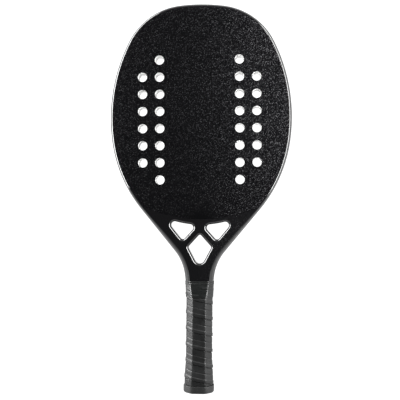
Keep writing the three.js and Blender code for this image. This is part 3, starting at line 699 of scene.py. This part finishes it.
grit = grit_paint()
skin_turn = np.linspace(math.pi / 2, 0, SKIN_ROUND_STEPS + 1)
skin_in = np.append(SKIN_EDGE_ROUND * (1 - np.cos(skin_turn)), 0)
skin_height = np.append(FACE_HEIGHT - SKIN_EDGE_ROUND * (1 - np.sin(skin_turn)), SKIN_UNDERSIDE)
skin_loop, skin_normal = head_loop(SEAT_INSET + SKIN_EDGE_GAP)
for side, node in ((1, "front_face_skin"), (-1, "back_face_skin")):
    profile = list(zip(skin_in, side * skin_height))
    skin = plate_piece(node + "_sheet", [skin_loop] + holes, [skin_normal] + hole_normals, profile)
    even_shading(skin)
    dress(skin, grit)
    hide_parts(node)
    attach(skin, "root")

# Handle pallets
# Two strips of rigid foam bonded over the legs, which build the handle up to its eight sides. They
# are shaped in the frame and hidden by the grip, and keep that shape here.
PALLET_PORE = (0.2, 0.18, 0.15)
PALLET_BROWN = (0.36, 0.33, 0.28)


def pallet_foam():
    """Moulded rigid foam: dull grey brown with fine pores."""
    material, tree, surface = shader("pallet_rigid_foam", {"Roughness": 0.8})
    pores = pattern(tree, "ShaderNodeTexVoronoi", 1100)
    feed(tree, surface, "Base Color", pores.outputs["Distance"], [(0.1, PALLET_PORE), (0.5, PALLET_BROWN)])
    relief(tree, surface, pores.outputs["Distance"], 0.4, 0.0002)
    return material


for node in ("handle_pallet_front", "handle_pallet_back"):
    dress(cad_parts[node], pallet_foam())

# Cap pins
# Two short steel pins are driven through the cap's skirt and the pallets, front and back. The grip
# covers them.
STEEL = (0.6, 0.61, 0.63, 1)


def bright_steel():
    """Drawn wire: fine streaks along the pin."""
    material, tree, surface = shader("bright_steel_wire", {"Metallic": 1, "Base Color": STEEL})
    streaks = pattern(tree, "ShaderNodeTexNoise", 900, stretch=(1, 1, 0.1), Detail=2)
    feed(tree, surface, "Roughness", streaks.outputs["Fac"], [(0.3, 0.22), (0.7, 0.42)])
    return material


for node in ("cap_pin_front", "cap_pin_back"):
    dress(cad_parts[node], bright_steel())

# Butt cap
# A moulded rubber cup pushed over the end of the handle. Its lip flares out to stop the hand, and
# two small holes in the end are for a wrist cord.
PALLET_RISE = 2  # how far the pallets build up the legs' faces
PALLET_END = 0.8  # the same at the grip's top
GRIP_BELOW_NECK = 8
GRIP_TOP = neck_end[1] - GRIP_BELOW_NECK
SIDES = 8
CAP_WALL = 3.6
CAP_LIP_RISE = 4.1
CAP_LIP_LENGTH = 9.5
CAP_EDGE = 3.5
LIP_BACK_ROUND = 0.6  # rounding of the lip's other edge
LIP_BACK_MIDDLE = (0.15, 0.2)  # how far the middle of that rounding lies in, and down
CAP_CORNER = 2.4  # softening of the corners, measured along each side
SKIRT_RISE = 1.5
SKIRT_END_RISE = 0.9
SKIRT_STRAIGHT = 8.5
SKIRT_TAPER = 12
CORD_HOLE_DIAMETER = 4.5
CORD_HOLE_SPACING = 10
CORD_HOLE_EDGE = 0.6
STEPS_PER_SIDE = 14
RUBBER_DARK = (0.015, 0.0155, 0.0155)
RUBBER_PALE = (0.024, 0.0248, 0.0248)

side_angle = math.pi / 4 * (1 - np.arange(SIDES))  # direction that each side of the handle faces
leg_rows = outline[taper_end:]


def handle_corners(y):
    """Corners of the handle's eight-sided section at each height, clockwise seen from the butt:
    the legs' half width and cut corners, built up front and back by the pallets."""
    across = np.interp(y, leg_rows[::-1, 1], leg_rows[::-1, 0])
    share = np.clip((y - leg_top[1]) / (GRIP_TOP - leg_top[1]), 0, 1)
    rise = FACE_HEIGHT + PALLET_RISE + (PALLET_END - PALLET_RISE) * share
    reach = across + FACE_HEIGHT - LEG_CORNER
    x = [reach - rise, across, across, reach - rise, rise - reach, -across, -across, rise - reach]
    z = [rise, reach - across, across - reach, -rise, -rise, across - reach, reach - across, rise]
    return np.stack([np.stack(x, axis=-1), np.stack(z, axis=-1)], axis=-1)


def handle_skin(place, y, grow, softness):
    """A point on the handle. Place counts sides round the section; it lies on the line between
    two corners, or on a quadratic curve that rounds a corner off, and moves outwards by grow
    along the section's normal there."""
    place, y, grow = np.broadcast_arrays(np.asarray(place, float) % SIDES, y, grow)
    side = np.floor(place).astype(int) % SIDES
    both_ends = np.stack([side, (side + 1) % SIDES], axis=-1)[..., None]
    here, ahead = np.moveaxis(np.take_along_axis(handle_corners(y), both_ends, axis=-2), -2, 0)
    length = np.linalg.norm(ahead - here, axis=-1)
    from_here = (place - np.floor(place)) * length
    to_ahead = length - from_here
    at_ahead = to_ahead < from_here
    distance = np.minimum(to_ahead, from_here)
    corner = np.where(at_ahead[..., None], ahead, here)
    before = side_angle[np.where(at_ahead, side, (side - 1) % SIDES)]
    after = before - math.pi / 4
    t = 0.5 + np.where(at_ahead, -0.5, 0.5) * np.clip(distance / softness, 0, 1)
    past = np.maximum(distance - softness, 0)
    back = (1 - t) ** 2 * softness + np.where(at_ahead, past, 0)
    onward = t ** 2 * softness + np.where(at_ahead, 0, past)
    flat = (corner - back[..., None] * np.stack([np.sin(before), -np.cos(before)], axis=-1)
            + onward[..., None] * np.stack([np.sin(after), -np.cos(after)], axis=-1))
    angle = before - math.pi / 4 * t
    return np.stack([flat[..., 0] + grow * np.cos(angle), y, flat[..., 1] + grow * np.sin(angle)], axis=-1)


skirt_flat = CAP_LIP_LENGTH + SKIRT_STRAIGHT
skirt_top = skirt_flat + SKIRT_TAPER
along_side = (1 - np.cos(np.linspace(0, math.pi, STEPS_PER_SIDE, endpoint=False))) / 2
around = np.concatenate([side + along_side for side in range(SIDES)])
cap_turn = np.linspace(0, math.pi / 2, ROUND_STEPS + 1)
cap_rows = list(zip(CAP_EDGE * (1 - np.cos(cap_turn)), CAP_LIP_RISE - CAP_EDGE * (1 - np.sin(cap_turn))))
cap_rows += [(CAP_LIP_LENGTH - LIP_BACK_ROUND, CAP_LIP_RISE),
             (CAP_LIP_LENGTH - LIP_BACK_MIDDLE[0], CAP_LIP_RISE - LIP_BACK_MIDDLE[1]),
             (CAP_LIP_LENGTH, CAP_LIP_RISE - LIP_BACK_ROUND), (CAP_LIP_LENGTH, SKIRT_RISE),
             (skirt_flat, SKIRT_RISE), (skirt_top, SKIRT_END_RISE), (skirt_top, SEAT_GAP),
             (CAP_WALL, SEAT_GAP)]
cap_rings = np.stack([handle_skin(around, LEG_FOOT, rise, CAP_CORNER) * [1, 0, 1] + [0, y, 0]
                      for y, rise in cap_rows])
cap = mesh_piece("butt_cap_moulding", cap_rings.reshape(-1, 3), ring_faces(cap_rings), sharp_degrees=40)


def cord_hole(x):
    """A round hole through the end wall, wider at the outer face along a short slope."""
    depth = np.array([-CUT_OVERRUN, 0, CORD_HOLE_EDGE, CAP_WALL + CUT_OVERRUN])
    radius = CORD_HOLE_DIAMETER / 2 + np.array([CORD_HOLE_EDGE, CORD_HOLE_EDGE, 0, 0])
    angle = np.linspace(0, 2 * math.pi, HOLE_SIDES, endpoint=False)
    rings = np.stack([np.column_stack([x + r * np.cos(angle), np.full(HOLE_SIDES, y), r * np.sin(angle)])
                      for y, r in zip(depth, radius)])
    return mesh_piece("cord_hole", rings.reshape(-1, 3), ring_faces(rings))


cord_holes = [cord_hole(side * CORD_HOLE_SPACING / 2) for side in (-1, 1)]
even_shading(carve(cap, cord_holes))
for cutter in cord_holes:
    bpy.data.objects.remove(cutter)


def cap_rubber():
    """Satin moulded rubber with a fine spark-eroded texture."""
    material, tree, surface = shader("cap_satin_rubber", {})
    fine = pattern(tree, "ShaderNodeTexNoise", 1500, Detail=2)
    feed(tree, surface, "Base Color", fine.outputs["Fac"], [(0.35, RUBBER_DARK), (0.7, RUBBER_PALE)])
    feed(tree, surface, "Roughness", fine.outputs["Fac"], [(0.3, 0.42), (0.7, 0.55)])
    relief(tree, surface, fine.outputs["Fac"], 0.25, 0.0001)
    return material


dress(cap, cap_rubber())
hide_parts("butt_cap")
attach(cap, "root")

# Cushion grip
# One long strip of soft synthetic leather, wound up the handle by hand as a left-handed helix. Each
# turn laps over the one below, so its lower edge stands up as a narrow ridge.
GRIP_THICKNESS = 1.3
GRIP_CROWN = 0.03  # share that it gains half-way across a turn and loses at the edges
GRIP_PITCH = 19.85
GRIP_START_SIDE = 7.1
GRIP_POINT_WIDTH = 1.5
GRIP_SHORT = 0.6  # how much narrower the strip is than its pitch and its lap
GRIP_CLEAR = 0.02  # gap to the handle under it
GRIP_SKIVE_LENGTH = 19
GRIP_SKIVE_THICKNESS = 0.25
GRIP_LAP = 3.6  # width of the ridge where a turn lies on the last one
GRIP_LAP_RISE = 0.6
GRIP_LAP_SWAY = 0.25  # share by which the ridge's height varies along the strip
GRIP_LAP_WAVES = (3.1, 0.83)  # how fast it varies, per side wound: two waves multiplied
GRIP_LAP_SLOPE = 0.7
GRIP_LAP_CLEARANCE = 1
GRIP_LAP_INSET = 0.2  # how far inside the ridge the clearance starts to close
GRIP_TUCKED = 0.45  # thickness of the edge under the next turn
GRIP_TUCK_SLOPE = 0.35
GRIP_EDGE_ROUND = 0.55
GRIP_CREVICE = 0.85
GRIP_LAP_PRESSED = 0.7  # share of the ridge's height that the tape presses flat
TAPE_COVER = 18.4  # how far the tape comes down over the grip
TAPE_PRESS = 3  # length over which its pressure builds up
GRIP_MID_LINE = 0.45  # depth of the faint line half-way across a turn, then its place and width
GRIP_MID_PLACE = 0.56
GRIP_MID_WIDTH = 0.45
GRIP_CORNER = 1.3
GRIP_SIDE_STEPS = 12
GRIP_ACROSS_STEPS = 56
LEATHER_DARK = (0.009, 0.0093, 0.0093)
LEATHER_PALE = (0.017, 0.0175, 0.0175)

grip_low = CAP_LIP_LENGTH + SEAT_GAP
bare_width = GRIP_PITCH - GRIP_SHORT  # the strip's width without its lap
front_corners = handle_corners(np.array(LEG_FOOT))
side_lengths = np.linalg.norm(np.roll(front_corners, -1, axis=0) - front_corners, axis=1)[::-1]
wound_share = np.append(0, np.cumsum(side_lengths)) / side_lengths.sum()


def turns_at(wound):
    """Turns wound for a place counted in sides as the strip goes, by the length of the sides."""
    whole = np.floor(wound / SIDES)
    return whole + np.interp(wound - whole * SIDES, np.arange(SIDES + 1), wound_share)


def grip_seat(y):
    """How far the handle has grown: over the cap's skirt, then bare."""
    on_skirt = SKIRT_RISE + (SKIRT_END_RISE - SKIRT_RISE) * np.clip((y - skirt_flat) / SKIRT_TAPER, 0, 1)
    return on_skirt * (1 - np.clip((y - skirt_top) / SKIRT_TAPER, 0, 1)) + SEAT_GAP


def grip_fullness(y):
    """Share of the strip's thickness that is left as it is pared away under the tape."""
    share = np.clip((y - GRIP_TOP + GRIP_SKIVE_LENGTH) / GRIP_SKIVE_LENGTH, 0, 1)
    return 1 + (GRIP_SKIVE_THICKNESS / GRIP_THICKNESS - 1) * share


def grip_strip():
    """A closed strip: rows across it, carried up the helix. Distance counts from its lower edge.
    Outside, it is a ridge with a round edge, then the strip's plain thickness with a faint line
    in it, then a drop to the tucked edge; inside, it clears the tucked edge below and then lies
    on the handle."""
    turns = (GRIP_TOP - grip_low + bare_width - 2 * GRIP_POINT_WIDTH) / GRIP_PITCH
    last = GRIP_START_SIDE + turns * SIDES
    inside = (1 - np.cos(np.linspace(0, math.pi, GRIP_SIDE_STEPS, endpoint=False))) / 2
    wound = (np.arange(math.ceil(last))[:, None] + inside).ravel()
    wound = wound[(wound > GRIP_START_SIDE) & (wound < last)]
    wound = np.concatenate([[GRIP_START_SIDE], wound, [last]])[:, None]
    climb = (turns_at(wound) - turns_at(GRIP_START_SIDE)) * GRIP_PITCH
    bottom = grip_low - bare_width + GRIP_POINT_WIDTH + climb
    start = np.clip(bottom, grip_low, GRIP_TOP - GRIP_POINT_WIDTH)
    end = np.clip(bottom + bare_width + GRIP_LAP, grip_low + GRIP_POINT_WIDTH, GRIP_TOP)
    across = (1 - np.cos(np.linspace(0, math.pi, GRIP_ACROSS_STEPS)))[None, :] / 2
    y = start + (end - start) * across
    distance = y - bottom
    from_edge = np.minimum(y - start, end - y)
    plain = GRIP_THICKNESS * (1 - GRIP_CROWN * np.cos(2 * math.pi * distance / GRIP_PITCH))
    sway = np.sin(GRIP_LAP_WAVES[0] * wound) * np.sin(GRIP_LAP_WAVES[1] * wound + 1)
    pressed = smooth(y, GRIP_TOP - TAPE_COVER - TAPE_PRESS, GRIP_TOP - TAPE_COVER)
    ridge = GRIP_LAP_RISE * (1 + GRIP_LAP_SWAY * sway) * (1 - GRIP_LAP_PRESSED * pressed)
    outer = plain + ridge * (1 - smooth(distance, GRIP_LAP, GRIP_LAP + GRIP_LAP_SLOPE))
    outer -= GRIP_MID_LINE * np.exp(-((distance - GRIP_PITCH * GRIP_MID_PLACE) / GRIP_MID_WIDTH) ** 2)
    crevice = GRIP_PITCH - GRIP_CREVICE
    outer = outer + (GRIP_TUCKED - outer) * smooth(distance, crevice - GRIP_TUCK_SLOPE, crevice)
    edge = np.clip(from_edge / GRIP_EDGE_ROUND, 0, 1)
    on_lap = 1 - smooth(distance, GRIP_LAP - GRIP_LAP_INSET, GRIP_LAP + GRIP_LAP_SLOPE)
    inner = np.where(bottom < grip_low, GRIP_CLEAR, GRIP_LAP_CLEARANCE * on_lap + GRIP_CLEAR)
    outer = outer - np.minimum(GRIP_EDGE_ROUND, outer - inner) * (1 - np.sqrt(1 - (1 - edge) ** 2))
    fullness = grip_fullness(y)
    seat = grip_seat(y) - SEAT_GAP + GRIP_CLEAR
    top = handle_skin(-wound, y, seat + outer * fullness, GRIP_CORNER)
    under = handle_skin(-wound, y, seat + inner * fullness, GRIP_CORNER)
    rings = np.concatenate([top, under[:, ::-1]], axis=1)
    return mesh_piece("cushion_grip_strip", rings.reshape(-1, 3), ring_faces(rings), sharp_degrees=50)


grip = even_shading(grip_strip())


def grip_leather():
    """Soft synthetic leather: a fine pebbled grain, a little sheen and a tone that varies."""
    material, tree, surface = shader("grip_soft_leather", {
        "Specular IOR Level": 0.4, "Sheen Weight": 0.1, "Sheen Roughness": 0.4})
    tone = pattern(tree, "ShaderNodeTexNoise", 60, Detail=4)
    feed(tree, surface, "Base Color", tone.outputs["Fac"], [(0.3, LEATHER_DARK), (0.75, LEATHER_PALE)])
    feed(tree, surface, "Roughness", tone.outputs["Fac"], [(0.3, 0.34), (0.7, 0.46)])
    grain = pattern(tree, "ShaderNodeTexVoronoi", 1300)
    relief(tree, surface, grain.outputs["Distance"], 0.25, 0.0001)
    return material


dress(grip, grip_leather())
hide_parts("cushion_grip")
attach(grip, "root")

# Finishing tape
# Thin stretched vinyl wound twice over the top end of the grip and onto the neck. Its two layers
# end a little apart at the top, and its loose end is laid across the front.
TAPE_ABOVE = 1.6
TAPE_THICKNESS = 0.16
TAPE_CLEAR = 0.06  # gap to the grip's highest ridges
TAPE_LAYER_GAP = 0.02
TAPE_SECOND_DROP = 2.3
TAPE_LOW_STEP = 0.3  # how far each layer's lower edge lies below the last one's
TAPE_END_TOP = 7.2  # how far the upper edge of the loose end finishes below the tape's top
TAPE_END_FALL = 9.5  # how much lower that edge starts
TAPE_END_SIDE = 0.55  # the side on which the last layer starts, and how many turns it goes
TAPE_END_TURNS = 0.97
TAPE_BEAD = 0.5  # how far a stretched upper edge rolls up
TAPE_BEAD_WIDTH = 0.6
TAPE_CORNER = 1.5
VINYL_DARK = (0.008, 0.0088, 0.0086)
VINYL_PALE = (0.012, 0.0132, 0.013)

tape_rows = np.concatenate([np.linspace(0, 0.85, 18), np.linspace(0.88, 1, 13)])  # closer at the top
tape_high = GRIP_TOP + TAPE_ABOVE
tape_low = GRIP_TOP - TAPE_COVER


def tape_layer(level, bottom, top, fall=0, first=0, turns=1):
    """Rings for one layer: rows of places round the handle, each a thin closed section between
    its lower and upper edge. The upper edge starts lower by the fall and climbs evenly."""
    wound = np.linspace(first, first + turns * SIDES, round(turns * SIDES * STEPS_PER_SIDE))[:, None]
    top = top - fall * (1 - (wound - first) / (turns * SIDES))
    y = bottom + (top - bottom) * tape_rows[None, :]
    highest_ridge = GRIP_LAP_RISE * (1 + GRIP_LAP_SWAY) * (1 - GRIP_LAP_PRESSED)
    crest = GRIP_THICKNESS * (1 + GRIP_CROWN) + highest_ridge
    under = grip_seat(y) - SEAT_GAP + TAPE_CLEAR + crest * grip_fullness(np.minimum(y, GRIP_TOP))
    under = under + level * (TAPE_THICKNESS + TAPE_LAYER_GAP)
    bead = TAPE_BEAD * np.exp(-((top - y) / TAPE_BEAD_WIDTH - 1) ** 2)
    outside = handle_skin(-wound, y, under + TAPE_THICKNESS + bead, TAPE_CORNER)
    inside = handle_skin(-wound, y, under, TAPE_CORNER)
    return np.concatenate([outside, inside[:, ::-1]], axis=1)


whole_turns = [tape_layer(0, tape_low + 2 * TAPE_LOW_STEP, tape_high)[:-1],
               tape_layer(1, tape_low + TAPE_LOW_STEP, tape_high - TAPE_SECOND_DROP)[:-1]]
loose_end = tape_layer(2, tape_low, tape_high - TAPE_END_TOP, TAPE_END_FALL, TAPE_END_SIDE, TAPE_END_TURNS)
tape_places = np.concatenate([rings.reshape(-1, 3) for rings in whole_turns + [loose_end]])
tape_faces = []
start = 0
for rings, closed in ((whole_turns[0], True), (whole_turns[1], True), (loose_end, False)):
    tape_faces += [[index + start for index in face] for face in ring_faces(rings, closed)]
    start += rings[..., 0].size
tape = even_shading(mesh_piece("finishing_tape_band", tape_places, tape_faces, sharp_degrees=50))


def tape_vinyl():
    """Thin black vinyl, stretched: smooth, with faint ripples along its length."""
    material, tree, surface = shader("tape_black_vinyl", {})
    ripple = pattern(tree, "ShaderNodeTexNoise", 110, stretch=(1, 4, 1), Detail=3)
    feed(tree, surface, "Base Color", ripple.outputs["Fac"], [(0.3, VINYL_DARK), (0.75, VINYL_PALE)])
    feed(tree, surface, "Roughness", ripple.outputs["Fac"], [(0.3, 0.24), (0.7, 0.36)])
    relief(tree, surface, ripple.outputs["Fac"], 0.5, 0.0007)
    return material


dress(tape, tape_vinyl())
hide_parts("finishing_tape")
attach(tape, "root")

# Floor, lights and camera
# A white floor that the racket lies on, touching the butt's lip and the tip of the head. A low soft
# light stands on the left and a higher one on the right. The camera looks almost straight down.
FLOOR_SIZE = 6000
FLOOR_GAP = 0.2
HEAD_REST = (RACKET_LENGTH - RIM_ROUND, -FACE_HEIGHT)
LIP_REST = (CAP_EDGE, -(FACE_HEIGHT + PALLET_RISE + CAP_LIP_RISE))

slope = (HEAD_REST[1] - LIP_REST[1]) / (HEAD_REST[0] - LIP_REST[0])
floor_corners = [(x, y, LIP_REST[1] - FLOOR_GAP + (y - LIP_REST[0]) * slope)
                 for x, y in np.array([(-1, -1), (1, -1), (1, 1), (-1, 1)]) * FLOOR_SIZE / 2]
floor = mesh_piece("floor", floor_corners, [[0, 1, 2, 3]])
floor_material, _, _ = shader("white_floor", {
    "Base Color": (0.15, 0.15, 0.15, 1), "Roughness": 0.9, "Specular IOR Level": 0.1,
    "Emission Color": (1, 1, 1, 1), "Emission Strength": 1.15})
dress(floor, floor_material)


def soft_light(name, place, aim, size, power):
    """A rectangular light at a place, turned to face its aim, all in metres and watts."""
    lamp = bpy.data.lights.new(name, "AREA")
    lamp.shape = "RECTANGLE"
    lamp.size, lamp.size_y = size
    lamp.energy = power
    holder = bpy.data.objects.new(name, lamp)
    holder.location = place
    holder.rotation_euler = (Vector(aim) - Vector(place)).to_track_quat("-Z", "Y").to_euler()
    bpy.context.scene.collection.objects.link(holder)


soft_light("left_wall", (-0.5, 0.66, 0.105), (0, 0.6, 0.025), (1.25, 0.15), 14)
soft_light("right_wall", (0.4, 0.45, 0.26), (0, 0.4, 0), (0.8, 0.14), 7)

SKY_BY_HEIGHT = [(0, 0.95), (0.3, 0.9), (0.75, 0.05), (1, 0.03)]  # bright round the edge, dark above

world = bpy.data.worlds.new("studio")
bpy.context.scene.world = world
world.use_nodes = True
sky = world.node_tree
sky_direction = sky.nodes.new("ShaderNodeTexCoord")
sky_split = sky.nodes.new("ShaderNodeSeparateXYZ")
sky.links.new(sky_direction.outputs["Generated"], sky_split.inputs["Vector"])
sky_colour = ramp(sky, sky_split.outputs["Z"], SKY_BY_HEIGHT)
sky.links.new(sky_colour, sky.nodes["Background"].inputs["Color"])

CAMERA_TURN = (0.633, 2.663, 0.461)  # degrees off the straight view, about X, Y and Z
CAMERA_DISTANCE = 1031.76
CAMERA_AIM = (0, 242, 0)
CAMERA_SHIFT = (-0.613, -1.095)  # millimetres across and along
CAMERA_FOCAL_PIXELS = 819
IMAGE_PIXELS = 400
SENSOR = 36

to_camera = Euler([-math.radians(angle) for angle in CAMERA_TURN], "XYZ").to_matrix()
offset = Vector((*CAMERA_SHIFT, CAMERA_DISTANCE))
place = to_camera.transposed() @ offset + Vector(CAMERA_AIM)
lens = bpy.data.cameras.new("camera")
lens.sensor_fit = "HORIZONTAL"
lens.sensor_width = SENSOR
lens.lens = SENSOR * CAMERA_FOCAL_PIXELS / IMAGE_PIXELS
camera = bpy.data.objects.new("camera", lens)
camera.matrix_world = Matrix.Translation(place * METRES) @ to_camera.transposed().to_4x4()
bpy.context.scene.collection.objects.link(camera)
bpy.context.scene.camera = camera
bpy.context.scene.view_settings.view_transform = "Standard"
